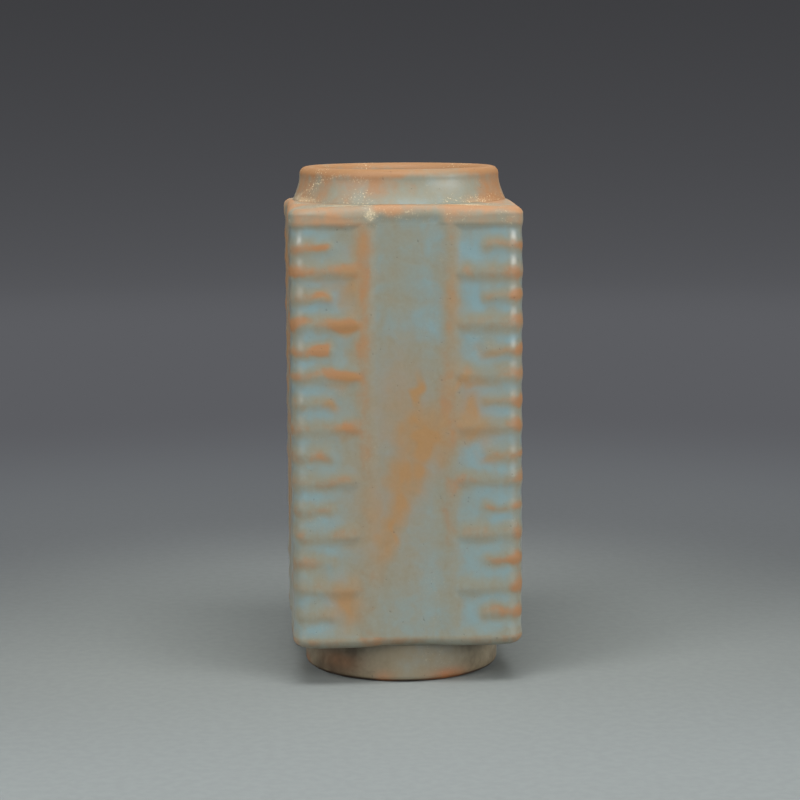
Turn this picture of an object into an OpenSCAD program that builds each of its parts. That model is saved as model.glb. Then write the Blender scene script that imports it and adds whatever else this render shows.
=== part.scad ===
// Square vase in the form of a ritual jade tube, luted together from moulded clay slabs
// and two thrown rings. It stands on z = 0 with its axis on z and its front towards -y.

/* [Body] */
// Width of the square body across the upright ridges
body_w = 90; // [80:1:110]
// Height of the square body between the foot and the neck
body_h = 172; // [140:1:220]
// Rounding of the four upright corners, seen from above
corner_r = 7; // [5:0.5:10]
// Thickness of the wall slabs behind the relief
wall_t = 6; // [4:0.5:7]
// Thickness of the base slab
base_t = 5; // [4:0.5:8]
// Rounding of the lower edge of the base slab
base_round = 3; // [1:0.5:3.5]
// Thickness of the shoulder slab
shoulder_t = 8; // [6:0.5:12]
// Rounding of the upper edge of the shoulder slab
shoulder_round = 2.5; // [1:0.5:4]
// Fall of the shoulder from the root of the neck to the corners, in degrees
shoulder_fall = 5; // [2:1:12]

/* [Relief] */
// Number of tiers on each face
tiers = 8; // [5:1:9]
// How much taller each tier is than the tier above it
tier_step = 0.25; // [0:0.05:0.4]
// Width of the sunk channel down the middle of each face
channel_w = 26.4; // [18:0.4:28]
// Width of an upright ridge beside the channel
ridge_w = 6.6; // [4:0.2:7]
// How far the ridges stand out from the sunk ground
ridge_rise = 1.4; // [0.8:0.1:1.8]
// Height of a horizontal bar, from its lower to its upper edge
bar_h = 4.4; // [3:0.2:5]
// How much lower the bars are than the ridges
bar_drop = 0.2; // [0.1:0.05:0.3]
// Gap between a ridge and the round end of a short bar
short_gap = 8.4; // [4:0.2:9]

/* [Neck] */
// Height of the neck above the shoulder
neck_h = 13; // [10:0.5:18]
// Outer radius of the neck below the lip
neck_r = 39.4; // [34:0.2:42]
// Thickness of the neck, which ends in a full round lip
neck_t = 6; // [4:0.2:7]
// Height of the hollow curve that spreads the neck on to the shoulder
flare_h = 8; // [4:0.5:8]
// Reach of that curve over the shoulder
flare_w = 2.8; // [1.5:0.1:3.5]

/* [Foot] */
// Height of the foot ring
foot_h = 15; // [8:0.5:20]
// Outer radius of the foot ring
foot_r = 38.8; // [32:0.2:40]
// Thickness of the foot ring
foot_t = 6; // [5:0.2:9]
// Rounding of the outer lower edge of the foot ring
foot_round = 2.4; // [1:0.1:2.6]
// Rounding of the inner lower edge of the foot ring
foot_inner_round = 1.2; // [0.6:0.1:1.6]

/* [Seams] */
// Leg of the clay strips pressed into the inner seams
coil_leg = 4; // [2.5:0.1:4.2]
// Thickness of a strip at its smoothed edges
coil_edge = 0.6; // [0.4:0.1:1]

/* [Hidden] */

half_w = body_w / 2;
bar_rise = ridge_rise - bar_drop;
ground = half_w - ridge_rise;
ground_r = corner_r - ridge_rise;
corner_c = half_w - corner_r;
inner = ground - wall_t;
mouth_r = neck_r - neck_t;
root_r = neck_r + flare_w;
ridge_x = channel_w / 2 + ridge_w / 2;
short_x = channel_w / 2 + ridge_w + short_gap + bar_h / 2;
wall_z0 = foot_h + base_t;
wall_z1 = foot_h + body_h - shoulder_t;
wall_h = wall_z1 - wall_z0;
shoulder_z = foot_h + body_h;
sink = 0.9;
tier_mean = (wall_h + bar_h) / tiers;
$fn = 96;

// Height of the line between two tiers, counted from the top. The slab edges stand in for
// the first and the last bar, so the lines run from half a bar above the walls to half a bar below.
function tier_line(i) = wall_z1 + bar_h / 2 - i * tier_mean - tier_step * i * (i - tiers) / 2;
function tier_mid(i) = (tier_line(i) + tier_line(i + 1)) / 2;

// Radius of the low round crown that has a given width at the ground and a given rise
function crown_r(width, rise) = (width * width / 4 + rise * rise) / (2 * rise);

// Section of a crown that rises towards -x from the ground at x = 0
module crown(width, rise) {
    r = crown_r(width, rise);
    intersection() {
        translate([r - rise, 0]) circle(r);
        translate([-2 * rise, -width]) square([2 * rise + sink, 2 * width]);
    }
}

// Straight length of a bar on the front ground, from x0 to the start of the corner
module bar_run(x0) {
    translate([x0, -ground, 0]) rotate([90, 0, 90]) linear_extrude(corner_c - x0) crown(bar_h, bar_rise);
}

// The same bar carried round the corner as far as the mitre
module bar_turn() {
    translate([corner_c, -corner_c, 0]) rotate_extrude(angle = 45, start = -90)
        translate([ground_r, 0]) mirror([1, 0]) crown(bar_h, bar_rise);
}

// Round end of a short bar, a half dome that faces the channel
module bar_end() {
    r = crown_r(bar_h, bar_rise);
    translate([short_x, -ground, 0]) rotate([90, 0, 0]) rotate_extrude(angle = 180, start = 90)
        intersection() {
            translate([0, bar_rise - r]) circle(r);
            translate([0, -sink]) square([2 * bar_h, 2 * bar_rise + sink]);
        }
}

// Relief on the right half of the front face: ridge, long bars and short bars
module half_relief() {
    translate([ridge_x, -ground, wall_z0]) linear_extrude(wall_h) rotate(90) crown(ridge_w, ridge_rise);
    for (i = [1 : tiers - 1]) translate([0, 0, tier_line(i)]) {
        bar_run(ridge_x);
        bar_turn();
    }
    for (i = [0 : tiers - 1]) translate([0, 0, tier_mid(i)]) {
        bar_end();
        bar_run(short_x);
        bar_turn();
    }
}

// Plain wall slab with its upright edges rounded outside and cut to a mitre
module slab() {
    translate([0, 0, wall_z0]) difference() {
        union() {
            linear_extrude(wall_h)
                polygon([[-corner_c, -ground], [corner_c, -ground], [corner_c, -corner_c], [0, 0],
                         [-corner_c, -corner_c]]);
            for (k = [0, 1]) mirror([k, 0, 0]) translate([corner_c, -corner_c, 0])
                rotate_extrude(angle = 45, start = -90) square([ground_r, wall_h]);
        }
        translate([-inner, -inner, -1]) cube([2 * inner, 2 * inner, wall_h + 2]);
    }
}

module wall() {
    slab();
    half_relief();
    mirror([1, 0, 0]) half_relief();
}

// Plate with round corners and one round edge, the lower face on z = 0, the round edge on top
module plate(t, edge) {
    module section(reach) {
        difference() {
            square([reach, t]);
            translate([reach - edge, t - edge]) difference() {
                square(edge + 1);
                circle(edge);
            }
        }
    }
    for (a = [0, 90]) rotate(a) for (k = [0, 1]) mirror([k, 0, 0])
        rotate([90, 0, 0]) translate([0, 0, -corner_c]) linear_extrude(2 * corner_c) section(half_w);
    for (a = [0 : 90 : 270]) rotate(a) translate([corner_c, corner_c, 0])
        rotate_extrude(angle = 90) section(corner_r);
}

// Cuts that carry the sunk channel of each face over the edge of a plate, up to a height
module channel_cuts(top) {
    for (a = [0 : 90 : 270]) rotate(a)
        translate([-channel_w / 2, -half_w - 1, -1]) cube([channel_w, ridge_rise + 1, top + 1]);
}

// Low cone that lets the shoulder fall away to the corners outside the root of the neck
module shoulder_cone() {
    reach = 1.5 * half_w;
    fall = tan(shoulder_fall);
    rotate_extrude() polygon([[0, -body_w], [reach, -body_w], [reach, shoulder_t - (reach - root_r) * fall],
                              [0, shoulder_t + root_r * fall]]);
}

module base_slab() {
    color("tan") translate([0, 0, wall_z0]) mirror([0, 0, 1]) difference() {
        plate(base_t, base_round);
        channel_cuts(base_t + 1);
    }
}

module shoulder_slab() {
    color("tan") translate([0, 0, wall_z1]) difference() {
        intersection() {
            plate(shoulder_t, shoulder_round);
            shoulder_cone();
        }
        channel_cuts(shoulder_t - shoulder_round);
        translate([0, 0, -1]) cylinder(r = mouth_r, h = shoulder_t + 2);
    }
}

// Neck: a straight wall with a full round lip, spread at its root by a hollow curve
module neck_ring() {
    sweep = (flare_w * flare_w + flare_h * flare_h) / (2 * flare_w);
    color("peru") translate([0, 0, shoulder_z]) rotate_extrude() {
        translate([mouth_r, 0]) square([neck_t, neck_h - neck_t / 2]);
        translate([mouth_r + neck_t / 2, neck_h - neck_t / 2]) circle(neck_t / 2);
        difference() {
            translate([neck_r - 1, 0]) square([flare_w + 1, flare_h]);
            translate([neck_r + sweep, flare_h]) circle(sweep);
        }
    }
}

// Foot: an upright ring with a flat resting face between two rounded edges
module foot_ring() {
    bore = foot_r - foot_t;
    color("sienna") rotate_extrude() difference() {
        translate([bore, 0]) square([foot_t, foot_h]);
        difference() {
            translate([foot_r - foot_round, -1]) square([foot_round + 1, foot_round + 1]);
            translate([foot_r - foot_round, foot_round]) circle(foot_round);
        }
        difference() {
            translate([bore - 1, -1]) square([foot_inner_round + 1, foot_inner_round + 1]);
            translate([bore + foot_inner_round, foot_inner_round]) circle(foot_inner_round);
        }
    }
}

// Section of a seam strip with its corner at the origin and a hollow smoothed face
module coil_section() {
    difference() {
        square(coil_leg);
        translate([coil_leg, coil_leg]) circle(coil_leg - coil_edge);
    }
}

// Upright strip in the front right inner corner, between the two level strips
module seam_coil() {
    color("burlywood") translate([inner, -inner, wall_z0 + coil_leg]) rotate(90)
        linear_extrude(wall_h - 2 * coil_leg) coil_section();
}

// Level strip round the inside of the four walls, resting on z = 0 and mitred at the corners
module level_coil() {
    for (a = [0 : 90 : 270]) rotate(a) intersection() {
        translate([-inner, -inner, 0]) rotate([90, 0, 90]) linear_extrude(2 * inner) coil_section();
        linear_extrude(coil_leg) polygon([[0, 0], [-inner, -inner], [inner, -inner]]);
    }
}

module front_wall() { color("rosybrown") wall(); }
module right_wall() { color("rosybrown") rotate(90) wall(); }
module back_wall() { color("rosybrown") rotate(180) wall(); }
module left_wall() { color("rosybrown") rotate(270) wall(); }
module front_right_seam_coil() { seam_coil(); }
module back_right_seam_coil() { rotate(90) seam_coil(); }
module back_left_seam_coil() { rotate(180) seam_coil(); }
module front_left_seam_coil() { rotate(270) seam_coil(); }
module base_seam_coil() { color("burlywood") translate([0, 0, wall_z0]) level_coil(); }
module shoulder_seam_coil() { color("burlywood") translate([0, 0, wall_z1]) mirror([0, 0, 1]) level_coil(); }

front_wall();
right_wall();
back_wall();
left_wall();
base_slab();
shoulder_slab();
neck_ring();
foot_ring();
front_right_seam_coil();
back_right_seam_coil();
back_left_seam_coil();
front_left_seam_coil();
base_seam_coil();
shoulder_seam_coil();
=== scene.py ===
"""Cong vase: a square slab-built vase with moulded bars, under a sky-blue glaze that breaks to brown."""

import math
from functools import partial

import bpy
import numpy as np
from bpy.props import FloatProperty, FloatVectorProperty, IntProperty, PointerProperty
from mathutils import Euler, Matrix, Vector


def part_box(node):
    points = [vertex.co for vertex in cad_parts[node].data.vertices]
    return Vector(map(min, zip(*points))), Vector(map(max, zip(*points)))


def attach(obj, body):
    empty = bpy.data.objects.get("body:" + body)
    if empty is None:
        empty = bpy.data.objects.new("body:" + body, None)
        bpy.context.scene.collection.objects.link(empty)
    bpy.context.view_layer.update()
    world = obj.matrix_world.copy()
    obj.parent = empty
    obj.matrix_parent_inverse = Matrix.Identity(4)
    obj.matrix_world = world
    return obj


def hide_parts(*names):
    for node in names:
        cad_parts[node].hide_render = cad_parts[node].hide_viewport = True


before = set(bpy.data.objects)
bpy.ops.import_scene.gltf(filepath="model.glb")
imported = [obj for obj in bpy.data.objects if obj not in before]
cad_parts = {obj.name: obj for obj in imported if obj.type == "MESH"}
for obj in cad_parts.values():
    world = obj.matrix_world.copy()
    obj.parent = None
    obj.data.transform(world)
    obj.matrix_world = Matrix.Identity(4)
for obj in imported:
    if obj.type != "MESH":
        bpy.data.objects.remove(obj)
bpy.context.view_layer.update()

bl_info = {
    "name": "Cong vase",
    "version": (1, 0, 0),
    "blender": (4, 5, 0),
    "location": "View3D > Sidebar > Cong vase",
    "description": "Builds a slab-built cong vase, its glaze and a plain studio stage",
    "category": "Add Mesh",
}

WALL_NODES = ("front_wall", "right_wall", "back_wall", "left_wall")
STRIP_NODES = ("front_right_seam_coil", "back_right_seam_coil", "back_left_seam_coil",
               "front_left_seam_coil", "base_seam_coil", "shoulder_seam_coil")
VASE = "vase"  # collection that the fill lights reach
SEED = 11
NEAR = 0.06  # mm to either side for the slope of a skin
NEAR_T = 0.02  # the same in a slab's own parameter
INNER_DEPTH = 0.5  # depth of the glaze inside and under the foot
SCORCH_COUNT, POOL_COUNT = 9, 8  # patches drawn for each other face
NECK_COLUMNS, FOOT_COLUMNS, SWEEP_COLUMNS = 400, 360, 96
COAT_ROUGHNESS, COAT_IOR, GLAZE_IOR = 0.30, 1.65, 1.5
BUMP_STRENGTH, BUMP_DISTANCE = 0.55, 0.00035
PIT_COLOUR = (0.05, 0.045, 0.035, 1.0)
AMBIENT = 0.25  # strength of the world's even white light
MIDDLE = 0.1  # height in metres at which the lights aim
LAYERS = ("glaze_depth", "fire_patch", "dry_and_highlight_patch")  # attributes for the glaze

# Patches of the front face by place across, height, half width, half height (mm), lean (across per height)
# and strength. First where the fire scorched the glaze: in the channel, on the ridges, left and right.
FRONT_SCORCH = (
    (3.5, 115, 2.6, 8, 0, 1.0), (4.6, 98, 10.5, 13, 0, 1.2), (-0.8, 84, 9, 14, 0.15, 1.0),
    (-4.8, 69, 6, 16, 0.28, 0.9), (-9, 57, 5, 12, 0.18, 0.8), (-5.5, 66, 2.4, 14, 0.05, 1.05),
    (7, 90, 6, 9, 0, 0.55), (-4, 110, 12, 22, 0, 0.48), (-2, 60, 14, 30, 0, 0.15),
    (-13, 72, 6, 24, 0, 0.5), (-14, 70, 12, 30, 0, 0.28), (-18.5, 171, 4.2, 8, 0, 0.4),
    (-18.5, 151, 4.4, 10, 0, 0.45), (-17.5, 132, 4, 9, 0, 0.3), (17, 150, 2.8, 18, 0, 0.42),
    (17, 118, 5, 14, 0, 0.35), (17, 62, 2.6, 20, 0, 0.1),
    (-21, 160, 7, 3.2, 0, 0.5), (-28, 157, 9, 3, 0, 0.3), (-22, 154, 4.5, 6, 0, 0.6),
    (-29.5, 150.5, 3, 2.2, 0, 0.4), (-22, 141, 7, 3, 0, 0.45), (-23, 120, 6, 2.8, 0, 0.5),
    (-29.5, 110, 3, 2.4, 0, 0.85), (-24, 100, 5, 2.5, 0, 0.35), (-24.5, 34, 6.5, 9, 0, 0.85),
    (33, 130.5, 7, 2, 0, 0.4), (22, 118, 6, 3.5, 0, 0.8), (23, 108, 8, 9, 0, 0.7),
    (25, 99, 8.5, 5, 0, 0.6), (33, 89.5, 7, 2, 0, 0.4),
)
# Then where more of the glaze pooled.
FRONT_POOLS = (
    (29, 166, 11, 6, 0, 0.24), (29, 147, 11, 7, 0, 0.27), (33, 106, 9, 5, 0, 0.27), (30, 67, 11, 8, 0, 0.22),
    (-34, 166, 7, 4, 0, 0.08), (-36, 146, 6, 4, 0, 0.06), (-36, 125, 6, 4, 0, 0.14),
    (-35, 105, 7, 4, 0, 0.16), (-33, 85, 9, 4, 0, 0.16), (-33, 64, 9, 4, 0, 0.16),
    (6, 140, 6, 12, 0.1, 0.05), (10.5, 61, 5, 14, 0, 0.11), (-9, 142, 5, 9, 0, 0.09),
)
# Ranges for the patches of the other faces, in the same order; the last is a share of the greatest strength.
PATCH_RANGES = ((-34, 34), (28, 172), (3.5, 8), (5, 18), (-0.2, 0.3), (0.4, 1.0))

# Soft boxes by bearing and elevation in degrees, distance, width and height in metres, watts and tint.
STUDIO_LIGHTS = (
    ("right_box", 52, 17, 1.3, 0.75, 0.5, 8.3, (1.0, 0.98, 0.96)),
    ("left_box", -52, 24, 1.3, 0.55, 0.6, 8.6, (1.0, 0.98, 0.96)),
    ("top_box", 0, 68, 1.3, 0.9, 0.5, 12.9, (1.0, 0.99, 0.97)),
)
# Two more that light the vase alone and don't show in its gloss.
FILL_LIGHTS = (
    ("side_box", 98, 24, 1.5, 0.5, 0.9, 5.0, (1.0, 0.98, 0.96)),
    ("back_box", 180, 34, 1.7, 1.8, 1.0, 22.0, (1.0, 1.0, 1.0)),
)


def from_frame(node, corner, axis):
    """Coordinate of one corner of a CAD node's box, in metres."""
    return float(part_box(node)[corner][axis])


def srgb(red, green, blue):
    """Linear colour of 8-bit display values: the display curve undone."""
    c = np.array([red, green, blue], float) / 255.0
    return tuple(float(v) for v in np.where(c <= 0.04045, c / 12.92, ((c + 0.055) / 1.055) ** 2.4))


def length(name, description, default):
    """Property for a length in metres."""
    return FloatProperty(name=name, description=description, default=default, unit="LENGTH",
                         subtype="DISTANCE", precision=5)


def angle_of(name, description, degrees):
    """Property for an angle."""
    return FloatProperty(name=name, description=description, default=math.radians(degrees), subtype="ANGLE")


def colour(name, description, *display):
    """Property for a colour, from its 8-bit display values."""
    return FloatVectorProperty(name=name, description=description, default=srgb(*display), size=3,
                               subtype="COLOR", min=0.0, max=1.0)


class CONG_PG_sizes(bpy.types.PropertyGroup):
    """Sizes of the vase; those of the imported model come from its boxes."""

    body_width: length("Body width", "Width across the rails", 2.0 * from_frame("shoulder_slab", 1, 0))
    body_bottom: length("Body bottom", "Height of the base slab's underside", from_frame("base_slab", 0, 2))
    wall_bottom: length("Wall bottom", "Height of the walls' lower edge", from_frame("front_wall", 0, 2))
    wall_top: length("Wall top", "Height of the walls' upper edge", from_frame("front_wall", 1, 2))
    body_top: length("Body top", "Height of the shoulder at the neck", from_frame("shoulder_slab", 1, 2))
    corner_radius: length("Corner radius", "Rounding of the upright corners", 0.007)
    wall_thickness: length("Wall thickness", "Thickness of the wall slabs behind the relief", 0.006)
    shoulder_round: length("Shoulder rounding", "How far the upper edge rounds inwards", 0.0030)
    shoulder_roll: length("Shoulder roll", "How far down the upper edge rounds over", 0.0048)
    base_round: length("Base rounding", "How far the lower edge rounds inwards", 0.0044)
    base_roll: length("Base roll", "How far up the lower edge rounds over", 0.0042)
    shoulder_fall: angle_of("Shoulder fall", "Fall of the shoulder to the corners", 5.0)
    tiers: IntProperty(name="Tiers", description="Number of tiers on each face", default=8, min=2)
    tier_step: length("Tier step", "How much taller each tier is than the one above", 0.00025)
    channel_width: length("Channel width", "Width of the sunk channel", 0.0264)
    channel_lift: length("Channel lift", "How far the lower edge rises across the channel", 0.0006)
    corner_lift: length("Corner lift", "How far the lower edge rises at the corners", 0.0004)
    ridge_width: length("Ridge width", "Width of an upright ridge", 0.0066)
    relief_rise: length("Relief rise", "How far rails and ridges stand out from the ground", 0.0014)
    bar_height: length("Bar height", "Height of a horizontal bar", 0.0044)
    bar_rise: length("Bar rise", "How far the glazed bars stand out from the cells", 0.00074)
    glaze_fill: length("Glaze fill", "Depth of glaze over the sunk ground", 0.00048)
    short_gap: length("Short bar gap", "Gap between a ridge and the end of a short bar", 0.0084)
    neck_radius: length("Neck radius", "Outer radius of the neck", 0.0394)
    neck_thickness: length("Neck thickness", "Thickness of the neck at the lip", 0.006)
    root_radius: length("Root radius", "Radius of the neck's spread root", from_frame("neck_ring", 1, 0))
    lip_top: length("Lip top", "Height of the lip", from_frame("neck_ring", 1, 2))
    foot_radius: length("Foot radius", "Outer radius of the foot ring", from_frame("foot_ring", 1, 0))
    foot_thickness: length("Foot thickness", "Thickness of the foot ring", 0.006)
    grid: length("Grid", "Spacing of the points on the moulded skin", 0.00046)


class CONG_PG_glaze(bpy.types.PropertyGroup):
    """Colours of the glaze by how thick it lies."""

    pooled: colour("Pooled", "Where the glaze lies thick in the sunk cells", 125, 152, 157)
    middle: colour("Middle", "Where it lies at its usual depth", 138, 137, 121)
    broken: colour("Broken", "Where it runs thin over bars, ridges and edges", 161, 119, 82)
    scorched: colour("Scorched", "Patches that the fire turned orange brown", 164, 124, 76)
    speck: colour("Specks", "Dry pale specks in the glaze", 222, 205, 170)
    foot: colour("Foot", "Thin brown glaze on the foot ring", 136, 124, 100)
    # It also browns the foot's sides, which is painted shade, and darkens the foot towards its bottom edge.
    foot_brown: colour("Foot brown", "Iron brown of the bare edge of the foot", 58, 44, 31)
    foot_orange: colour("Foot orange", "Orange spots along the foot's edge", 166, 104, 58)
    inside: colour("Inside", "Glaze inside the vase", 120, 122, 110)
    # Tan of thin glaze, made lighter than the broken shade as a painted highlight on the shoulder's edge.
    edge_tan_and_highlight: colour("Pale tan", "Where it runs thin over the shoulder's edge", 171, 130, 94)


class CONG_PG_stage(bpy.types.PropertyGroup):
    """Camera and floor of the plain studio stage."""

    distance: length("Camera distance", "From the axis of the vase to the camera", 0.9085)
    height: length("Camera height", "Above the floor", 0.2330)
    azimuth: angle_of("Camera azimuth", "Turn of the camera about the vase", -4.0)
    pitch: angle_of("Camera pitch", "How far the camera looks down", 7.94)
    roll: angle_of("Camera roll", "How far the camera leans to the right", 0.3)
    lens: FloatProperty(name="Lens", description="Focal length in mm on a 36 mm sensor", default=102.73)
    floor: colour("Floor", "Plain pale floor", 139, 145, 144)
    # front, behind, back and far paint the light's pool and falloff on the floor and sweep.
    front: colour("Front", "Floor in front of the vase", 144, 151, 152)
    behind: colour("Behind", "Sweep a little behind the vase", 113, 117, 120)
    back: colour("Back", "Sweep farther back", 92, 93, 97)
    far: colour("Far", "Top of the sweep", 48, 48, 50)


class Form:
    """Sizes in millimetres, with the outline, the inside and the lines of the bars that follow from them."""

    def __init__(self, context):
        sizes = context.scene.cong_sizes
        lengths = [key for key in sizes.__annotations__ if key not in ("tiers", "shoulder_fall")]
        self.__dict__.update({key: getattr(sizes, key) * 1000.0 for key in lengths})
        self.fall = math.tan(sizes.shoulder_fall)
        self.ground = self.body_width / 2 - self.relief_rise
        self.ground_radius = self.corner_radius - self.relief_rise
        self.straight = self.ground - self.ground_radius
        self.reach = self.straight + self.ground_radius * math.pi / 4
        self.side = 2 * self.reach
        self.round = 4 * self.side
        self.inner = self.ground - self.wall_thickness
        self.mouth = self.neck_radius - self.neck_thickness
        self.ridge_x = self.channel_width / 2 + self.ridge_width / 2
        self.short_x = self.channel_width / 2 + self.ridge_width + self.short_gap + self.bar_height / 2
        mean = (self.wall_top - self.wall_bottom + self.bar_height) / sizes.tiers
        i = np.arange(sizes.tiers + 1)
        widen = self.tier_step * i * (i - sizes.tiers) / 2
        self.lines = self.wall_top + self.bar_height / 2 - i * mean - widen
        self.mids = (self.lines[1:] + self.lines[:-1]) / 2


def soft_step(x, low, high):
    """0 up to low, 1 from high on, and the cubic 3t^2 - 2t^3 between."""
    t = np.clip((x - low) / (high - low), 0.0, 1.0)
    return t * t * (3.0 - 2.0 * t)


def bell(x, middle, width):
    """Bell curve: exp of minus the square of the distance from the middle over the width."""
    return np.exp(-((x - middle) / width) ** 2)


def ledge(d, under, over):
    """Bar under glaze, by the height d over its crest: exp(-(d / under)^2) below, where the glaze ran off,
    and the longer exp(-(d / over)^1.6) above, where it came to rest."""
    return np.where(d < 0, bell(d, 0.0, under), np.exp(-np.abs(d / over) ** 1.6))


def soft_max(a, b, blend):
    """The larger of two heights, with the crease between them filled over a height of blend."""
    near = np.maximum(blend - np.abs(a - b), 0.0) / blend
    return np.maximum(a, b) + near * near * blend / 4.0


def stack(*parts):
    """Arrays spread to one shape and put side by side along a new last axis."""
    return np.stack(np.broadcast_arrays(*parts), -1)


def from_middle(form, s):
    """Distance of s from the middle of its face, along the outline."""
    return np.abs(np.mod(s, form.side) - form.reach)


def ground_fill(form, s):
    """Depth of the glaze that fills the sunk ground: a fixed depth, half of it in the channel and 1.5 times
    it at the corners. Also how far s is in the channel and at a corner, from 0 to 1."""
    across = from_middle(form, s)
    channel = 1 - soft_step(across, form.channel_width / 2 - 3.0, form.channel_width / 2 + 2.5)
    corner = soft_step(across, form.straight - 9.0, form.straight + 1.5)
    return form.glaze_fill * (1 - 0.5 * channel + 0.5 * corner), channel, corner


def raised(form, s, z):
    """Height of the moulded pattern above the filled ground, in mm.

    s is the way round the ground outline from the left edge of the front face, z the height. A ridge is a
    bell curve across; a long bar is a ledge in z that starts at the ridge; a short bar is a ledge that ends
    short of it as half a bell curve; rails are soft steps in z, late across the channel. They join by
    soft_max. The bars waver as whole waves round the vase, so the four faces meet.
    """
    rng = np.random.default_rng(SEED)
    across = from_middle(form, s)
    turn = 2 * np.pi * s / form.round
    fill, channel, corner = ground_fill(form, s)

    def wavering(centres, share):
        """Heights over each wavering line, and how far its bar stands out there."""
        shape = (len(centres),) + (1,) * np.ndim(s)
        waves = rng.integers(3, 9, shape)
        phase = rng.uniform(0, 6.28, shape)
        ripples = rng.integers(5, 14, shape)
        ripple_phase = rng.uniform(0, 6.28, shape)
        line = np.reshape(centres, shape) + 0.35 * np.sin(waves * turn + phase)
        rise = form.bar_rise * share * (0.9 + 0.1 * np.sin(ripples * turn + ripple_phase))
        return z - line, rise * (1 - 0.10 * corner)

    away, rise = wavering(form.lines[1:-1], 1.0)
    start = soft_step(across, form.ridge_x - 2.0, form.ridge_x + 2.0)
    bars = (rise * start * ledge(away, 0.76 * form.bar_height, 1.25 * form.bar_height)).sum(0)
    away, rise = wavering(form.mids, 0.72)
    tip = bell(np.maximum(form.short_x - across, 0.0), 0.0, 0.6 * form.bar_height)
    bars = bars + (rise * tip * ledge(away, 0.66 * form.bar_height, 0.9 * form.bar_height)).sum(0)
    most = form.relief_rise - 0.04
    ridge = (0.93 * most - fill) * bell(across, form.ridge_x, 0.52 * form.ridge_width)
    top, bottom = form.wall_top, form.wall_bottom
    upper = (1 - channel) * soft_step(z, top - 2.5, top + 1.5) + channel * soft_step(z, top - 1.0, top + 8.0)
    lower = (0.92 - 0.77 * channel) * soft_step(-z, -bottom - 6.0, -bottom + 2.5)
    rails = (most - fill) * np.maximum(upper, lower)
    return np.minimum(soft_max(soft_max(bars, ridge, 0.25), rails, 0.2), most - fill)


def relief(form, s, z):
    """Height of the glazed skin over the sunk ground, in mm: fill, pattern and a slow waver inwards."""
    turn = 2 * np.pi * s / form.round
    slow = np.sin(5 * turn + z / 19) * np.sin(z / 31 + 2)
    quick = np.sin(9 * turn - z / 27) * np.sin(z / 11)
    return ground_fill(form, s)[0] + raised(form, s, z) + 0.03 * (slow + quick - 2)


def outline(form, s, out):
    """Plan point at s on the square outline with round corners, moved out from the ground: runs and arcs."""
    face = np.floor(s / form.side)
    u = s - face * form.side - form.reach
    angle = np.maximum(np.abs(u) - form.straight, 0.0) / form.ground_radius
    x = np.sign(u) * (np.minimum(np.abs(u), form.straight) + (form.ground_radius + out) * np.sin(angle))
    y = -form.straight - (form.ground_radius + out) * np.cos(angle)
    c, d = np.cos(face * np.pi / 2), np.sin(face * np.pi / 2)
    return c * x - d * y, d * x + c * y


def wall_point(form, s, z):
    """Outer skin of the walls: the outline moved out by the relief."""
    return stack(*outline(form, s, relief(form, s, z)), z)


def shoulder_point(form, s, t):
    """Skin of the shoulder slab. t runs 0 to 1 up the rail, 1 to 2 over the edge as a quarter ellipse, and
    2 to 3 from the square edge in to the round root of the neck; it falls with distance from the root."""
    across = from_middle(form, s)
    roll = form.shoulder_roll * (1 - 0.35 * soft_step(across, form.straight - 14.0, form.straight))
    bend = np.clip(t - 1, 0, 1) * np.pi / 2
    start = form.body_top - roll
    z = np.where(t < 1, form.wall_top + t * (start - form.wall_top), start + roll * np.sin(bend))
    x, y = outline(form, s, relief(form, s, z) - form.shoulder_round * (1 - np.cos(bend)))
    far = np.hypot(x, y)
    inward = np.maximum(t - 2, 0) * (1 - form.root_radius / far)
    x, y = x * (1 - inward), y * (1 - inward)
    beyond = np.hypot(x, y) - form.root_radius
    drop = form.fall * 0.5 * (beyond + np.sqrt(beyond ** 2 + 1.0))
    drop = drop * soft_step(z, form.wall_top + 1.5, form.body_top)
    return stack(x, y, z - drop)


def base_point(form, s, t):
    """Skin of the base slab. t runs 0 to 1 under it from the foot to the edge, 1 to 2 round the edge as a
    quarter ellipse and 2 to 3 up the rail; the edge rises at the channel and at the corners."""
    roll = form.base_roll
    bend = np.clip(t - 1, 0, 1) * np.pi / 2
    z = np.where(t < 2, form.body_bottom + roll * (1 - np.cos(bend)),
                 form.body_bottom + roll + (t - 2) * (form.wall_bottom - form.body_bottom - roll))
    x, y = outline(form, s, relief(form, s, z) - form.base_round * (1 - np.sin(bend)))
    far = np.hypot(x, y)
    inward = np.maximum(1 - t, 0) * (1 - (form.foot_radius - 3.0) / far)
    across = from_middle(form, s)
    channel = 1 - soft_step(across, form.channel_width / 2 - 8.0, form.channel_width / 2 + 9.0)
    lift = form.channel_lift * channel + form.corner_lift * soft_step(across, form.reach - 9, form.reach)
    lift = lift * soft_step(-z, -form.wall_bottom, -form.body_bottom)
    lift = lift * soft_step(far * (1 - inward), form.foot_radius, form.foot_radius + 2.2)
    return stack(x * (1 - inward), y * (1 - inward), z + lift)


def skin_normals(point, form, s, t, step_s, step_t):
    """Unit normals: cross product of the central differences of a skin along its two parameters."""
    along = point(form, s + step_s, t) - point(form, s - step_s, t)
    up = point(form, s, t + step_t) - point(form, s, t - step_t)
    n = np.cross(along, up)
    return n / np.linalg.norm(n, axis=-1, keepdims=True)


def face_patches(front, count, most):
    """Patches of the four faces: the front ones as placed, and a count of like ones drawn for each other."""
    rng = np.random.default_rng(SEED + count)
    drawn = [np.array(front, float)]
    for _ in range(3):
        columns = [rng.uniform(low, high, count) for low, high in PATCH_RANGES]
        drawn.append(np.column_stack([*columns[:5], most * columns[5]]))
    return drawn


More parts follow.
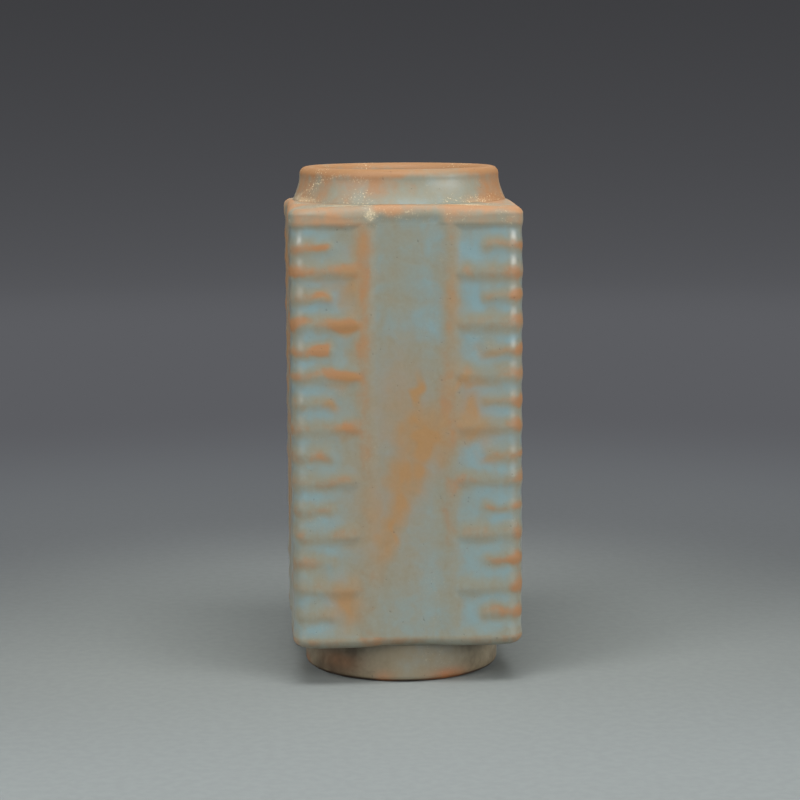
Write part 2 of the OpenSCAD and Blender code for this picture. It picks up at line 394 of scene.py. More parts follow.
def patch_field(form, s, z, front, count):
    """Strength of the patches at s and z: the largest of the leaning bell curves on each face, read at
    places that stray by crossed sine waves, so that their outlines are ragged."""
    face = np.mod(np.floor(s / form.side), 4)
    u = np.mod(s, form.side) - form.reach
    stray_u = 0.9 * np.sin(z / 2.9 + 1.6 * np.sin(u / 4.1)) + 0.6 * np.sin(z / 1.3 + u / 2.2)
    stray_z = 1.3 * np.sin(u / 2.3 + 1.4 * np.sin(z / 6.0)) + 0.7 * np.sin(u / 1.1 - z / 3.0)
    u, z = u + stray_u, z + stray_z
    total = np.zeros(u.shape)
    for k, patches in enumerate(face_patches(front, count, max(p[5] for p in front))):
        place, level, wide, tall, lean, strength = patches.T.reshape((6, -1) + (1,) * u.ndim)
        value = strength * bell(u, place + lean * (z - level), wide) * bell(z, level, tall)
        total = np.where(face == k, value.max(0), total)
    return total


def scorch(form, s, z):
    """How far the fire turned the glaze at s and z."""
    return patch_field(form, s, z, FRONT_SCORCH, SCORCH_COUNT)


class GlazeField:
    """Depth of the glaze over the moulded skin, on a grid of way round by height.

    It is a usual value, less shares of the pattern's height over its own Gaussian blur and of slopes that
    face down or left, where the browner glaze is partly painted shade, plus a share of the hollows. Long
    bars lose most beside the ridge, short
    ones at their tips or, on the right, along their length, and both on the corner edge; the lower tiers
    differ less. By chance some stretches break more. At the end the field is blurred and read at places that
    stray by about half a millimetre, so that its edges wander.
    """

    def __init__(self, form):
        self.form, self.low, self.span = form, -5.0, 210.0
        shape = (1024, 512)
        step_s, step_z = form.round / shape[0], self.span / shape[1]
        s = np.arange(shape[0])[:, None] * form.round / shape[0]
        z = self.low + np.arange(shape[1])[None, :] * self.span / shape[1]
        h = raised(form, *np.broadcast_arrays(s, z))
        waves_s = 2 * np.pi * np.fft.fftfreq(shape[0], step_s)[:, None]
        waves_z = 2 * np.pi * np.fft.rfftfreq(shape[1], step_z)[None, :]
        rng = np.random.default_rng(SEED)

        def blur(field, width):
            """Gaussian blur: the field's spectrum times that of a bell curve."""
            spread = np.exp(-0.5 * width ** 2 * (waves_s ** 2 + waves_z ** 2))
            return np.fft.irfft2(np.fft.rfft2(field) * spread, shape)

        def chance(width):
            """Random field of unit spread: white noise under a Gaussian blur."""
            field = blur(rng.standard_normal(shape), width)
            return field / field.std()

        across = from_middle(form, s)
        channel = ground_fill(form, s)[1]
        inner, short_x = form.ridge_x + 2.0, form.short_x
        kiln = np.sin(2 * np.pi * (s - form.reach) / form.round)
        high = soft_step(z, 40, 130)
        side = kiln * high
        proud = 0.32 * np.tanh((h - blur(h, 5.0)) / 0.32)
        on_bar = soft_step(proud, 0.0, 0.15)

        long = bell(z, form.lines[1:-1].reshape(-1, 1, 1), 3.2).sum(0)
        short = bell(z, form.mids.reshape(-1, 1, 1), 3.2).sum(0)
        long_bar = long * soft_step(across, inner - 2.0, inner + 2.0) * on_bar
        short_bar = short * soft_step(across, short_x - 1.5, short_x + 2.0) * on_bar
        faint = long * soft_step(across, inner + 7, inner + 14)
        faint = faint + short * soft_step(across, short_x + 3, short_x + 7)
        tips = long * bell(across, inner + 3.5, 6.0) + 1.4 * short * bell(across, short_x + 2.5, 4.0)
        edge = bell(across, form.reach - 0.3, 1.6)
        ends = bell(across, form.reach - 2.2, 3.2) * (long + short)
        ridge = bell(across, form.ridge_x, 4.5)
        beside = bell(across, form.ridge_x + 6.0, 6.0)
        rail = soft_step(z, form.wall_top - 3, form.wall_top + 1) * (1 - channel)

        over = np.maximum(proud, 0.0) * (1 - (0.15 - 0.35 * kiln) * faint)
        over = over * (1 - 0.6 * soft_step(-z, -24, -18))
        # Slopes facing down and slopes facing left thin the glaze to brown: partly painted shade under the
        # bars and beside the ridges.
        under = np.maximum(np.gradient(h, step_z, axis=1), 0.0) * (1 - 0.6 * channel) * (1 - 0.2 * faint)
        left_slope_shade = np.maximum(np.gradient(h, step_s, axis=0), 0.0)
        bare = 1.45 * over + 0.45 * under + 0.22 * (1 - 1.1 * side) * tips * soft_step(proud, 0, 0.2)
        lean = 1 - 0.70 * np.maximum(side, 0) - 0.5 * np.minimum(side, 0)
        lean = (lean + 0.7 * np.minimum(kiln, 0) * (1 - high)) * np.maximum(1 + 0.28 * chance(5.0), 0.2)
        fade = (0.62 + 0.38 * high) * (1 - ridge * (0.42 + 0.12 * (1 - soft_step(z, 100, 145))))
        sunk = np.maximum(-proud, 0.0) * (1 - 0.75 * channel) * (1 - beside * (0.5 - 0.6 * kiln))
        sunk = sunk * (1 - 0.45 * soft_step(z, form.wall_top - 11, form.wall_top - 3))

        thin = fade * (lean * bare + 0.4 * left_slope_shade + 1.2 * blur(left_slope_shade, 2.2))
        thin = thin + (0.13 + 0.23 * kiln) * short_bar - 0.14 * side * long_bar + (0.08 + 0.17 * kiln) * rail
        thin = thin + edge * (0.16 + 0.12 * kiln) + ends * (0.26 + 0.17 * kiln) * (0.6 + 0.4 * high)
        thick = fade * 1.30 * sunk + 0.9 * np.maximum(sunk - 0.05, 0)
        thick = thick + patch_field(form, s, z, FRONT_POOLS, POOL_COUNT) * (1 - 0.6 * on_bar)
        by_face = 0.05 * channel + 0.05 * kiln - 0.10 * soft_step(-kiln, 0.68, 0.80)
        self.depth = blur(0.60 - thin + thick + by_face, 0.9)
        self.depth = self(s + 0.55 * chance(2.4), z + 0.65 * chance(2.4))

    def __call__(self, s, z):
        """Depth at s and z by bilinear sampling."""
        d = self.depth
        n, m = d.shape
        a, b = np.mod(s / self.form.round, 1) * n, np.clip((z - self.low) / self.span * m, 0, m - 1.001)
        i, j = a.astype(int) % n, b.astype(int)
        p, q, k = a - np.floor(a), b - j, (i + 1) % n
        below = (1 - p) * d[i, j] + p * d[k, j]
        above = (1 - p) * d[i, j + 1] + p * d[k, j + 1]
        return (1 - q) * below + q * above


def quads(columns, rows, close_columns, close_rows):
    """Faces of a grid whose point (i, j) has index i * rows + j."""
    i = np.arange(columns if close_columns else columns - 1)[:, None]
    j = np.arange(rows if close_rows else rows - 1)[None, :]
    k, m = (i + 1) % columns, (j + 1) % rows
    return stack(i * rows + j, k * rows + j, k * rows + m, i * rows + m).reshape(-1, 4).tolist()


def padded(values, columns, value=0.0):
    """A grid of values with a few columns of one value after it."""
    return np.concatenate([values, np.full((len(values), columns), value)], 1)


def slab_grid(form, counts):
    """Even steps round the closed outline, by a parameter t with a count of even steps in each unit."""
    columns = 4 * int(form.side / form.grid)
    s = np.arange(columns)[:, None] * form.round / columns
    parts = [np.linspace(k, k + 1, n + 1)[:-1] for k, n in enumerate(counts)]
    t = np.concatenate([*parts, [float(len(counts))]])
    return np.broadcast_arrays(s, t[None, :])


def turned(profile, columns):
    """A profile of radius and height carried once round the axis, and the angle of each column."""
    angle = np.arange(columns)[:, None] * 2 * np.pi / columns
    r, z = profile[None, :, 0], profile[None, :, 1]
    return stack(r * np.cos(angle), r * np.sin(angle), z), angle


def placed(name, data):
    """New object in the scene."""
    item = bpy.data.objects.new(name, data)
    bpy.context.scene.collection.objects.link(item)
    return item


def smooth_mesh(name, points, faces, material):
    """New smooth mesh of points in metres."""
    mesh = bpy.data.meshes.new(name)
    mesh.from_pydata(points.reshape(-1, 3).tolist(), [], faces)
    mesh.shade_smooth()
    mesh.materials.append(material)
    return mesh


def make_piece(name, node, material, points, faces, depth, warmth, dry_and_highlight=0.0, normals=None):
    """Puts points (mm) and faces into a mesh object that stands for a CAD node, with how deep and scorched
    the glaze is at each point and a layer for dry specks and painted highlights. Without normals, edges over
    50 degrees are sharp."""
    mesh = smooth_mesh(name, points * 0.001, faces, material)
    for key, values in zip(LAYERS, (depth, warmth, dry_and_highlight + 0 * depth)):
        layer = mesh.attributes.new(key, "FLOAT", "POINT")
        layer.data.foreach_set("value", np.ascontiguousarray(values.ravel(), np.float32))
    if normals is None:
        mesh.set_sharp_from_angle(angle=math.radians(50))
    else:
        mesh.normals_split_custom_set_from_vertices(normals.reshape(-1, 3).tolist())
    if mesh.validate(verbose=False):
        raise RuntimeError(name + " has faulty faces")
    piece = placed(name, mesh)
    bpy.data.collections[VASE].objects.link(piece)
    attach(piece, "root")
    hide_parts(node)


def feed(node, settings):
    """Sets a node's settings and its inputs, by name or, as in_0, by number, to values or linked sockets."""
    for key, value in settings.items():
        if hasattr(node, key) and key not in node.inputs:
            setattr(node, key, value)
            continue
        socket = node.inputs[int(key[3:])] if key.startswith("in_") else node.inputs[key]
        if isinstance(value, bpy.types.NodeSocket):
            node.id_data.links.new(value, socket)
        else:
            socket.default_value = value


def node_of(tree, kind, **settings):
    """New shader node of a kind, named without its prefix, with its settings."""
    node = tree.nodes.new("ShaderNode" + kind)
    feed(node, settings)
    return node


def math_of(tree, operation, a, b=0.0, c=0.0):
    """Result of a sum, product or the like."""
    return node_of(tree, "Math", operation=operation, in_0=a, in_1=b, in_2=c).outputs[0]


def noise_of(tree, vector, scale, detail, roughness=0.5, distortion=0.0):
    """Noise from 0 to 1, with its scale per metre."""
    node = node_of(tree, "TexNoise", Vector=vector, Scale=scale, Detail=detail, Roughness=roughness,
                   Distortion=distortion)
    return node.outputs["Fac"]


def range_of(tree, value, low, high, to_low=0.0, to_high=1.0):
    """A soft step of a value from low to high, between two results."""
    node = node_of(tree, "MapRange", interpolation_type="SMOOTHSTEP", in_0=value, in_1=low, in_2=high,
                   in_3=to_low, in_4=to_high)
    return node.outputs[0]


def mix_of(tree, factor, a, b, blend="MIX"):
    """Colour a going over to b as the factor goes from 0 to 1."""
    return node_of(tree, "Mix", data_type="RGBA", blend_type=blend, in_0=factor, in_6=a, in_7=b).outputs[2]


def makers(tree):
    """The four functions above for one tree: sums, noise, soft steps and mixed colours."""
    return (partial(make, tree) for make in (math_of, noise_of, range_of, mix_of))


def shaded(tree, tint, factor):
    """A colour times a factor."""
    grey = node_of(tree, "CombineColor", Red=factor, Green=factor, Blue=factor).outputs[0]
    return mix_of(tree, 1.0, tint, grey, "MULTIPLY")


def opaque(shade):
    """A colour with full alpha."""
    return (*shade, 1.0)


def glaze_group():
    """Shader group for a glaze that breaks with depth: three colours by depth with mottling and runs,
    scorched patches, dry specks that close up to pale patches, in part painted highlights, and pits."""
    name = "Breaking glaze"
    if name in bpy.data.node_groups:
        return bpy.data.node_groups[name]
    tree = bpy.data.node_groups.new(name, "ShaderNodeTree")
    for in_out, kind, keys in (
            ("INPUT", "NodeSocketVector", ("Position",)),
            ("INPUT", "NodeSocketFloat", ("Depth", "Scorch", "Dry", "Mottle", "Specks")),
            ("INPUT", "NodeSocketColor", ("Pooled", "Middle", "Broken", "Scorched", "Speck")),
            ("OUTPUT", "NodeSocketColor", ("Colour",)),
            ("OUTPUT", "NodeSocketFloat", ("Roughness", "Gloss", "Height"))):
        for key in keys:
            tree.interface.new_socket(name=key, in_out=in_out, socket_type=kind)
    given = tree.nodes.new("NodeGroupInput").outputs
    place, dry_and_highlight = given["Position"], given["Dry"]
    calc, noise, step, mix = makers(tree)
    scaled = partial(calc, "MULTIPLY_ADD")  # a value times a factor, plus a rest

    # Mottling: noises about their means, each with its share of the depth.
    drawn_out = node_of(tree, "Mapping", Vector=place, Scale=(1.0, 1.0, 0.3)).outputs[0]
    broad = noise(place, 48.0, 2.0, 0.5, 0.5)
    blotch = noise(place, 130.0, 2.5, 0.5, 0.6)
    runs = noise(drawn_out, 170.0, 2.0, 0.5, 0.3)
    grain = noise(place, 900.0, 3.0, 0.6)
    flecks = noise(place, 380.0, 2.0, 0.55, 0.4)
    shift = 0.0
    for part, share in ((broad, 0.70), (blotch, 0.50), (runs, 0.45), (grain, 0.04), (flecks, 0.28)):
        shift = scaled(part, share, calc("ADD", shift, -share / 2))
    depth = scaled(shift, given["Mottle"], given["Depth"])

    # Colour by depth, then the scorched patches, ragged by the same noises.
    tint = mix(step(depth, -0.02, 0.52), given["Broken"], given["Middle"])
    tint = mix(step(depth, 0.44, 1.08), tint, given["Pooled"])
    ragged = scaled(runs, 1.2, scaled(blotch, 1.2, -0.18))
    fire = calc("MULTIPLY", given["Scorch"], ragged)
    fire = node_of(tree, "Clamp", Value=fire, Max=0.92).outputs[0]
    tint = mix(fire, tint, given["Scorched"])
    tint = shaded(tree, tint, step(grain, 0.25, 0.75, 0.975, 1.02))

    # Dry specks in some places by chance and more of them where the layer is high, then a pale patch where
    # it is highest, which is mostly a painted highlight, and pits.
    where = step(noise(place, 70.0, 2.0), 0.50, 0.66)
    where = scaled(where, given["Specks"], dry_and_highlight)
    where = node_of(tree, "Clamp", Value=where).outputs[0]
    least, full = (scaled(dry_and_highlight, -0.12, level) for level in (0.60, 0.70))
    speck = step(noise(place, 1300.0, 2.0, 0.6), least, full)
    speck = calc("MULTIPLY", speck, where)
    # Pale patch over the specks: mostly a painted highlight.
    speck = calc("MAXIMUM", speck, step(dry_and_highlight, 0.3, 1.1, 0.0, 0.42))
    tint = mix(speck, tint, given["Speck"])
    pit = step(noise(place, 620.0, 1.0), 0.26, 0.20)
    tint = mix(calc("MULTIPLY", pit, 0.3), tint, PIT_COLOUR)

    rough = step(depth, 0.05, 0.75, 0.48, 0.30)
    rough = calc("ADD", rough, step(blotch, 0.3, 0.7, 0.0, 0.06))
    rough = scaled(speck, 0.3, rough)
    lumps = scaled(grain, 0.12, calc("MULTIPLY", blotch, 0.7))
    lumps = scaled(pit, -0.5, lumps)
    feed(tree.nodes.new("NodeGroupOutput"), {
        "Colour": tint,
        "Roughness": scaled(fire, 0.06, rough),
        "Gloss": step(depth, 0.20, 0.64, 0.05, 1.0),
        "Height": scaled(speck, 0.15, lumps),
    })
    return tree


def new_material(name):
    """New material with its node tree and shader."""
    material = bpy.data.materials.new(name)
    material.use_nodes = True
    return material, material.node_tree, material.node_tree.nodes["Principled BSDF"]


def glaze_material(context, name, mottle=1.0, specks=0.12, gloss=1.0, dull=0.0, **shades):
    """Satin glaze: the breaking-glaze group, fed by positions and a piece's layers. gloss is the most that
    its coat weighs, dull adds to its roughness, and shades by name replace the usual ones."""
    if name in bpy.data.materials:
        return bpy.data.materials[name]
    paint = context.scene.cong_glaze
    material, tree, shader = new_material(name)
    place = node_of(tree, "TexCoord").outputs["Object"]
    depth, fire, dry_and_highlight = (node_of(tree, "Attribute", attribute_name=key).outputs["Fac"] for key in LAYERS)
    group = node_of(tree, "Group", node_tree=glaze_group())
    feed(group, {"Position": place, "Depth": depth, "Scorch": fire, "Dry": dry_and_highlight, "Mottle": mottle,
                 "Specks": specks})
    feed(group, {key.capitalize(): opaque(shades.get(key) or getattr(paint, key))
                 for key in ("pooled", "middle", "broken", "scorched", "speck")})
    result = group.outputs
    bump = node_of(tree, "Bump", Strength=BUMP_STRENGTH, Distance=BUMP_DISTANCE, Height=result["Height"])
    feed(shader, {
        "Base Color": result["Colour"],
        "Roughness": math_of(tree, "ADD", result["Roughness"], dull),
        "Coat Weight": math_of(tree, "MULTIPLY", result["Gloss"], gloss),
        "Coat Roughness": COAT_ROUGHNESS, "Coat IOR": COAT_IOR, "IOR": GLAZE_IOR,
        "Normal": bump.outputs[0],
    })
    return material


class CONG_OT_walls(bpy.types.Operator):
    """Makes the four moulded wall slabs"""

    bl_idname = "cong.walls"
    bl_label = "Wall slabs"

    def execute(self, context):
        form = Form(context)
        field = GlazeField(form)
        material = glaze_material(context, "sky_glaze_on_walls")
        columns = int(form.side / form.grid) + 1
        rows = int((form.wall_top - form.wall_bottom) / form.grid) + 1
        level = np.linspace(form.wall_bottom, form.wall_top, rows)[None, :]
        way = np.linspace(0.0, form.side, columns)[:, None]
        u = np.linspace(-form.inner, form.inner, columns)
        for k, node in enumerate(WALL_NODES):
            s, z = np.broadcast_arrays(k * form.side + way, level)
            skin = wall_point(form, s, z)
            normal = skin_normals(wall_point, form, s, z, NEAR, NEAR)
            c, d = round(math.cos(k * math.pi / 2)), round(math.sin(k * math.pi / 2))
            back = stack(c * u + d * form.inner, d * u - c * form.inner, 0.0)
            back = back[:, None, :] + np.array([[0, 0, form.wall_top], [0, 0, form.wall_bottom]])
            inward = np.broadcast_to([-d, c, 0.0], back.shape)
            total = rows + 2
            faces = quads(columns, total, False, True)
            faces.append(list(range(total)))
            faces.append(list(range(columns * total - 1, (columns - 1) * total - 1, -1)))
            make_piece(node.replace("_", "-") + "-slab", node, material,
                       np.concatenate([skin, back], 1), faces, padded(field(s, z), 2, INNER_DEPTH),
                       padded(scorch(form, s, z), 2), normals=np.concatenate([normal, inward], 1))
        return {"FINISHED"}


def root_depth(turn):
    """Depth of the glaze round the root of the neck by the turn from the front: three waves about a mean, a
    pool right of the front with a thin place beside it, and less over the corners, as 1 - cos(4 turn)."""
    waves = 0.12 * np.cos(turn - 0.45) + 0.06 * np.cos(3 * turn - 0.9) + 0.04 * np.cos(5 * turn + 1.0)
    pool = 0.22 * soft_step(np.cos(turn - 0.3), 0.86, 1.0) - 0.22 * soft_step(np.cos(turn - 1.0), 0.85, 1.0)
    return 0.31 + waves + pool - 0.035 * (1 - np.cos(4 * turn))


class CONG_OT_shoulder(bpy.types.Operator):
    """Makes the shoulder slab with its round hole"""

    bl_idname = "cong.shoulder"
    bl_label = "Shoulder slab"

    def execute(self, context):
        form = Form(context)
        s, t = slab_grid(form, (14, 12, 15))
        skin = shoulder_point(form, s, t)
        normal = skin_normals(shoulder_point, form, s, t, NEAR, NEAR_T)
        angle = np.arctan2(skin[:, -1, 1], skin[:, -1, 0])
        rim = stack(form.mouth * np.cos(angle), form.mouth * np.sin(angle), 1.0)
        hole = np.stack([rim * [1, 1, form.body_top], rim * [1, 1, form.wall_top]], 1)
        facing = np.stack([-rim * [1, 1, 0] / form.mouth] * 2, 1)
        points = np.concatenate([skin, hole], 1)
        u, z = s - form.reach, skin[..., 2]
        turn = np.arctan2(skin[..., 0], -skin[..., 1])
        root = soft_step(t, 2.0, 3.0)
        on_edge = GlazeField(form)(s, z) - 0.32 * bell(t, 1.72, 0.5)
        depth = (1 - root) * on_edge + root * root_depth(turn)
        # Dry glaze specks on the front's edge and all round, with painted highlights: a pale spot on the
        # front's edge and pale places on the top, right and left.
        dry_and_highlight = 0.85 * bell(u, -14.0, 2.8) * bell(z, 183.0, 3.0) * (t < 2)
        dry_and_highlight = dry_and_highlight + 0.3 * bell(u, -3.0, 9.0) * bell(t, 1.2, 0.6)
        dry_and_highlight = dry_and_highlight + 0.3 * soft_step(t, 1.7, 2.1) * (1 - soft_step(t, 2.5, 2.9))
        dry_and_highlight = dry_and_highlight + 0.5 * bell(np.abs(u), 25.0, 9.0) * bell(t, 2.25, 0.35)
        # Its broken shade is the lighter tan, which is in part a painted highlight on the edge.
        material = glaze_material(context, "sky_glaze_on_shoulder", specks=0.6, gloss=0.25, dull=0.17,
                                  broken=context.scene.cong_glaze.edge_tan_and_highlight)
        make_piece("shoulder-slab", "shoulder_slab", material, points,
                   quads(*points.shape[:2], True, True), padded(depth, 2, INNER_DEPTH),
                   padded(scorch(form, s, z), 2), padded(dry_and_highlight, 2),
                   np.concatenate([normal, facing], 1))
        return {"FINISHED"}


class CONG_OT_base(bpy.types.Operator):
    """Makes the base slab"""

    bl_idname = "cong.base"
    bl_label = "Base slab"

    def execute(self, context):
        form = Form(context)
        s, t = slab_grid(form, (8, 12, 8))
        skin = base_point(form, s, t)
        normal = skin_normals(base_point, form, s, t, NEAR, NEAR_T)
        inner = skin[:, -1:, :] * [0.8, 0.8, 1.0]
        points = np.concatenate([skin, inner], 1)
        columns, rows = points.shape[:2]
        facing = np.concatenate([normal, np.broadcast_to([0.0, 0.0, 1.0], inner.shape)], 1)
        middles = [[0, 0, form.body_bottom], [0, 0, form.wall_bottom]]
        i = np.arange(columns)
        k = (i + 1) % columns
        under = stack(columns * rows, k * rows, i * rows)
        over = stack(columns * rows + 1, i * rows + rows - 1, k * rows + rows - 1)
        depth = GlazeField(form)(s, skin[..., 2]) - 0.20 * bell(t, 1.8, 0.9)
        warmth = scorch(form, s, skin[..., 2])
        make_piece("base-slab", "base_slab", glaze_material(context, "sky_glaze_on_base"),
                   np.concatenate([points.reshape(-1, 3), middles]),
                   quads(columns, rows, True, False) + under.tolist() + over.tolist(),
                   np.append(padded(depth, 1, INNER_DEPTH), [INNER_DEPTH] * 2),
                   np.append(padded(warmth, 1), [0.0] * 2),
                   normals=np.concatenate([facing.reshape(-1, 3), [[0, 0, -1], [0, 0, 1]]]))
        return {"FINISHED"}


class CONG_OT_neck(bpy.types.Operator):
    """Makes the thrown neck ring with its full round lip"""

    bl_idname = "cong.neck"
    bl_label = "Neck ring"

    def execute(self, context):
        form = Form(context)
        half = form.neck_thickness / 2
        lip = form.lip_top - half
        flare = 9.0  # height over which the root spreads
        z = form.body_top + (lip - form.body_top) * np.linspace(0, 1, 36) ** 1.4
        spread = np.maximum(1 - (z - form.body_top) / flare, 0) ** 1.6
        spread = (form.root_radius - form.neck_radius) * spread
        outside = stack(form.neck_radius + spread, z)
        bend = np.linspace(0, np.pi, 26)[1:-1]
        over = stack(form.neck_radius - half + half * np.cos(bend), lip + half * np.sin(bend))
        inside = stack(form.mouth, np.linspace(lip, form.body_top, 8))
        profile = np.concatenate([outside, over, inside])
        points, angle = turned(profile, NECK_COLUMNS)
        height = points[..., 2] - form.body_top
        turn = angle + np.pi / 2
        way = np.mod(turn + np.pi, 2 * np.pi) - np.pi
        # Depth: as on the shoulder at the root, then pools and thin places round the ring, thin on the lip.
        rise, lip_share = soft_step(height, 0.0, 5.0), soft_step(height, 9.0, 12.6)
        pool = soft_step(np.cos(turn - 0.32), 0.80, 1.0) + 0.7 * soft_step(np.cos(turn + 2.2), 0.5, 1.0)
        olive = soft_step(np.cos(turn - 2.0), 0.7, 1.0) - 0.3 * soft_step(np.cos(turn + 0.5), 0.90, 1.0)
        above = 0.21 + 0.26 * pool + 0.14 * olive
        # Painted highlights at the root, right and left of the front; the right one also thins the glaze.
        painted_highlight_right = bell(way, 0.75, 0.38) * bell(height, 0.6, 1.8)
        painted_highlight_left = bell(way, -1.15, 0.32) * bell(height, 0.6, 1.6)
        depth = (1 - rise) * root_depth(turn) + rise * above - 0.38 * lip_share - 0.18 * painted_highlight_right
        # Dry glaze outside: an arc of specks that climbs at the left and a cluster; the pale places below,
        # right and left of the front at the root, are painted highlights.
        path = 1.5 + 9.0 * soft_step(way, -1.45, -0.65)
        arc = bell(height, path, 1.1) * soft_step(way, -1.5, -1.3) * (1 - soft_step(way, -0.75, -0.5))
        cluster = bell(way, -0.48, 0.12) * bell(height, 9.0, 1.6)
        dry_and_highlight = 0.45 * arc + 0.4 * cluster + 0.62 * painted_highlight_right + 0.8 * painted_highlight_left
        dry_and_highlight = dry_and_highlight * (np.hypot(points[..., 0], points[..., 1]) > form.neck_radius - half)
        material = glaze_material(context, "sky_glaze_on_neck", specks=1.0, gloss=0.2, dull=0.1)
        make_piece("neck-ring", "neck_ring", material, points,
                   quads(NECK_COLUMNS, len(profile), True, True), depth, 0.20 * lip_share, dry_and_highlight)
        return {"FINISHED"}


class CONG_OT_foot(bpy.types.Operator):
    """Makes the thrown foot ring"""

    bl_idname = "cong.foot"
    bl_label = "Foot ring"

    def execute(self, context):
        form = Form(context)
        bore, top = form.foot_radius - form.foot_thickness, form.body_bottom
        r, q = 2.6, 1.3  # rounding of the outer and the inner edge
        bend = np.linspace(0, np.pi / 2, 14)
        outer = stack(form.foot_radius - r + r * np.sin(bend), r - r * np.cos(bend))
        wall = stack(form.foot_radius, np.linspace(r, top, 17)[1:])
        down = stack(bore, np.linspace(top, q, 10))
        inner = stack(bore + q - q * np.cos(bend), q - q * np.sin(bend))[1:]
        profile = np.concatenate([outer, wall, down, inner])
        points, angle = turned(profile, FOOT_COLUMNS)
        z = points[..., 2]
        turn = np.mod(angle + 1.5 * np.pi, 2 * np.pi) - np.pi
        behind = 1 - soft_step(np.cos(turn), 0.0, 0.4)
        # Paler glaze where the foot faces the front and browner at its sides: the sides are painted shade.
        # Behind, pale patches by chance.
        front_light_and_patches = soft_step(np.cos(turn - 0.08), 0.74, 0.99)
        front_light_and_patches = front_light_and_patches + 0.8 * behind * soft_step(np.cos(3 * turn + 0.6), 0.2, 1.0)
        # Darker brown towards the bottom edge.
        depth = 0.27 + 0.27 * front_light_and_patches - 0.5 * soft_step(-z, -1.7, -0.6)
        spots = 0.6 * bell(turn, -0.24, 0.10) + bell(turn, 0.42, 0.20)
        spots = (spots + behind * soft_step(np.sin(5 * turn + 2.0), 0.6, 1.0)) * soft_step(-z, -6.5, -2.0)
        glow = 0.8 * bell(turn, -0.75, 0.22) * bell(z, 7.0, 4.0)
        paint = context.scene.cong_glaze
        material = glaze_material(context, "thin_glaze_on_foot", 0.55, 0.15, middle=paint.foot,
                                  broken=paint.foot_brown, scorched=paint.foot_orange)
        make_piece("foot-ring", "foot_ring", material, points,
                   quads(FOOT_COLUMNS, len(profile), True, True), depth, 0.8 * spots + 0.5 * glow)
        return {"FINISHED"}


class CONG_OT_strips(bpy.types.Operator):
    """Finishes the clay strips pressed into the inner seams"""

    bl_idname = "cong.strips"
    bl_label = "Seam strips"

    def execute(self, context):
        material = glaze_material(context, "glaze_inside", 0.9, 0.1, middle=context.scene.cong_glaze.inside)
        for name in STRIP_NODES:
            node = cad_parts[name]
            if not node.material_slots:
                node.data.materials.append(material)
            for place in node.material_slots:
                place.material = material
        return {"FINISHED"}


def floor_material(stage):
    """Plain pale floor, paler in front of the vase as a painted pool of light and darker behind it as
    painted falloff, that goes over with distance to a grey glow, darker farther back as painted falloff
    of light on the sweep; only the camera, gloss and glass see the glow."""
    material, tree, shader = new_material("pale_floor")
    calc, noise, step, mix = makers(tree)
    floor, front, behind, back, far = (opaque(getattr(stage, key))
                                       for key in ("floor", "front", "behind", "back", "far"))
    place = node_of(tree, "TexCoord").outputs["Object"]
    away = node_of(tree, "VectorMath", operation="LENGTH", in_0=place).outputs["Value"]
    ahead = node_of(tree, "SeparateXYZ", Vector=place).outputs["Y"]
    # Painted light: darker from 0.1 m out, as falloff round and behind the vase, and paler in front, as a
    # pool of light.
    tone = mix(step(away, 0.10, 0.33), floor, behind)
    tone = mix(step(ahead, 0.0, -0.17), tone, front)
    tone = shaded(tree, tone, step(noise(place, 260.0, 3.0), 0.3, 0.7, 0.97, 1.03))
    feed(shader, {"Base Color": tone, "Roughness": 0.75})
    # The glow darkens with distance: painted falloff of light on the sweep.
    grey = mix(step(away, 0.2, 0.72), behind, back)
    grey = mix(step(away, 1.25, 3.0), grey, far)
    glow = node_of(tree, "Emission", Color=grey).outputs[0]
    rays = node_of(tree, "LightPath").outputs
    seen = calc("ADD", rays["Is Glossy Ray"], rays["Is Transmission Ray"])
    seen = calc("MINIMUM", calc("ADD", rays["Is Camera Ray"], seen), 1.0)
    share = calc("MULTIPLY", step(away, 0.22, 0.55), seen)
    blend = node_of(tree, "MixShader", in_0=share, in_1=shader.outputs[0], in_2=glow)
    feed(tree.nodes["Material Output"], {"Surface": blend.outputs[0]})
    return material


def make_sweep(stage):
    """Floor that bends up into a backdrop: flat, quarter circle and wall, carried round the axis."""
    flat, curve, top = 1.7, 0.9, 2.4
    bend = np.linspace(0.0, np.pi / 2, 25)[1:]
    r = np.concatenate([[0.02], np.geomspace(0.05, flat, 30), flat + curve * np.sin(bend), [flat + curve]])
    h = np.concatenate([np.zeros(31), curve - curve * np.cos(bend), [top]])
    points = turned(stack(r, h), SWEEP_COLUMNS)[0]
    faces = np.flip(quads(SWEEP_COLUMNS, len(r), True, False), 1).tolist()
    faces.append(list(range(0, SWEEP_COLUMNS * len(r), len(r))))
    sweep = placed("sweep", smooth_mesh("sweep", points, faces, floor_material(stage)))


def soft_box(name, azimuth, elevation, distance, wide, tall, power, tint):
    """Area light aimed at the middle of the vase from a bearing about it and an elevation."""
    a, e = math.radians(azimuth), math.radians(elevation)
    lamp = bpy.data.lights.new(name, "AREA")
    lamp.shape, lamp.size, lamp.size_y = "RECTANGLE", wide, tall
    lamp.energy, lamp.color = power, tint
    rig = placed(name, lamp)
    rig.visible_camera = False
    rig.location = (distance * math.sin(a) * math.cos(e), -distance * math.cos(a) * math.cos(e),
                    MIDDLE + distance * math.sin(e))
    rig.rotation_euler = (math.pi / 2 - e, 0.0, a)
    return rig


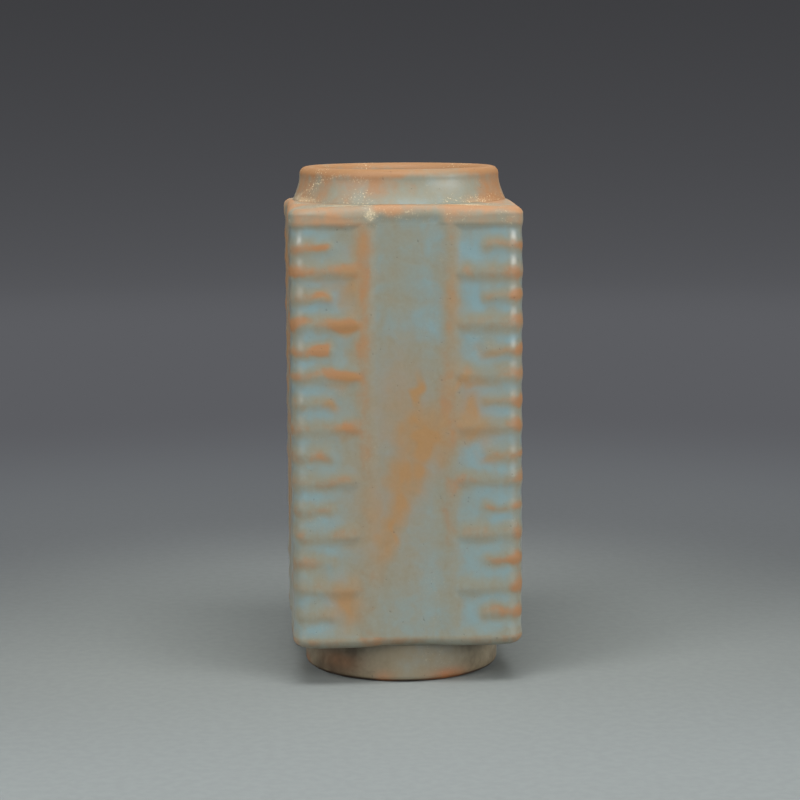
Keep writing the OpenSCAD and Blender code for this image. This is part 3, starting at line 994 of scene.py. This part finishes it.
class CONG_OT_stage(bpy.types.Operator):
    """Makes the floor, the lights and the camera"""

    bl_idname = "cong.stage"
    bl_label = "Stage"

    def execute(self, context):
        scene, stage = context.scene, context.scene.cong_stage
        scene.view_settings.view_transform = "Standard"
        make_sweep(stage)

        scene.world = bpy.data.worlds.new("studio")
        scene.world.use_nodes = True
        ambient = scene.world.node_tree.nodes["Background"]
        feed(ambient, {"Color": (1.0, 1.0, 1.0, 1.0), "Strength": AMBIENT})
        vase = bpy.data.collections.new(VASE)
        for values in STUDIO_LIGHTS:
            soft_box(*values)
        for values in FILL_LIGHTS:
            fill = soft_box(*values)
            fill.visible_glossy = False
            fill.light_linking.receiver_collection = vase

        camera = placed("camera", bpy.data.cameras.new("camera"))
        camera.data.sensor_width, camera.data.lens = 36.0, stage.lens
        camera.data.clip_start, camera.data.clip_end = 0.01, 50.0
        away, turn = stage.distance, stage.azimuth
        camera.location = (away * math.sin(turn), -away * math.cos(turn), stage.height)
        level = Euler((math.pi / 2 - stage.pitch, 0.0, turn)).to_matrix()
        camera.rotation_euler = (level @ Matrix.Rotation(-stage.roll, 3, "Z")).to_euler()
        scene.camera = camera
        return {"FINISHED"}


class CONG_PT_vase(bpy.types.Panel):
    """Sizes, colours and steps of the cong vase"""

    bl_idname = "CONG_PT_vase"
    bl_label = "Cong vase"
    bl_space_type = "VIEW_3D"
    bl_region_type = "UI"
    bl_category = "Cong vase"

    def draw(self, context):
        layout = self.layout
        for group in (getattr(context.scene, key) for key in GROUPS):
            box = layout.box()
            for key in group.__annotations__:
                box.prop(group, key)
        for step in STEPS:
            layout.operator(step.bl_idname)


GROUPS = {"cong_sizes": CONG_PG_sizes, "cong_glaze": CONG_PG_glaze, "cong_stage": CONG_PG_stage}
STEPS = (CONG_OT_stage, CONG_OT_walls, CONG_OT_shoulder, CONG_OT_base, CONG_OT_neck, CONG_OT_foot,
         CONG_OT_strips)
CLASSES = (*GROUPS.values(), *STEPS, CONG_PT_vase)


def register():
    for kind in CLASSES:
        bpy.utils.register_class(kind)
    for key, kind in GROUPS.items():
        setattr(bpy.types.Scene, key, PointerProperty(type=kind))


def unregister():
    for key in GROUPS:
        delattr(bpy.types.Scene, key)
    for kind in reversed(CLASSES):
        bpy.utils.unregister_class(kind)


def main():
    """Makes the stage and the pieces in order."""
    register()
    bpy.ops.cong.stage()
    bpy.ops.cong.walls()
    bpy.ops.cong.shoulder()
    bpy.ops.cong.base()
    bpy.ops.cong.neck()
    bpy.ops.cong.foot()
    bpy.ops.cong.strips()


if __name__ == "__main__":
    main()
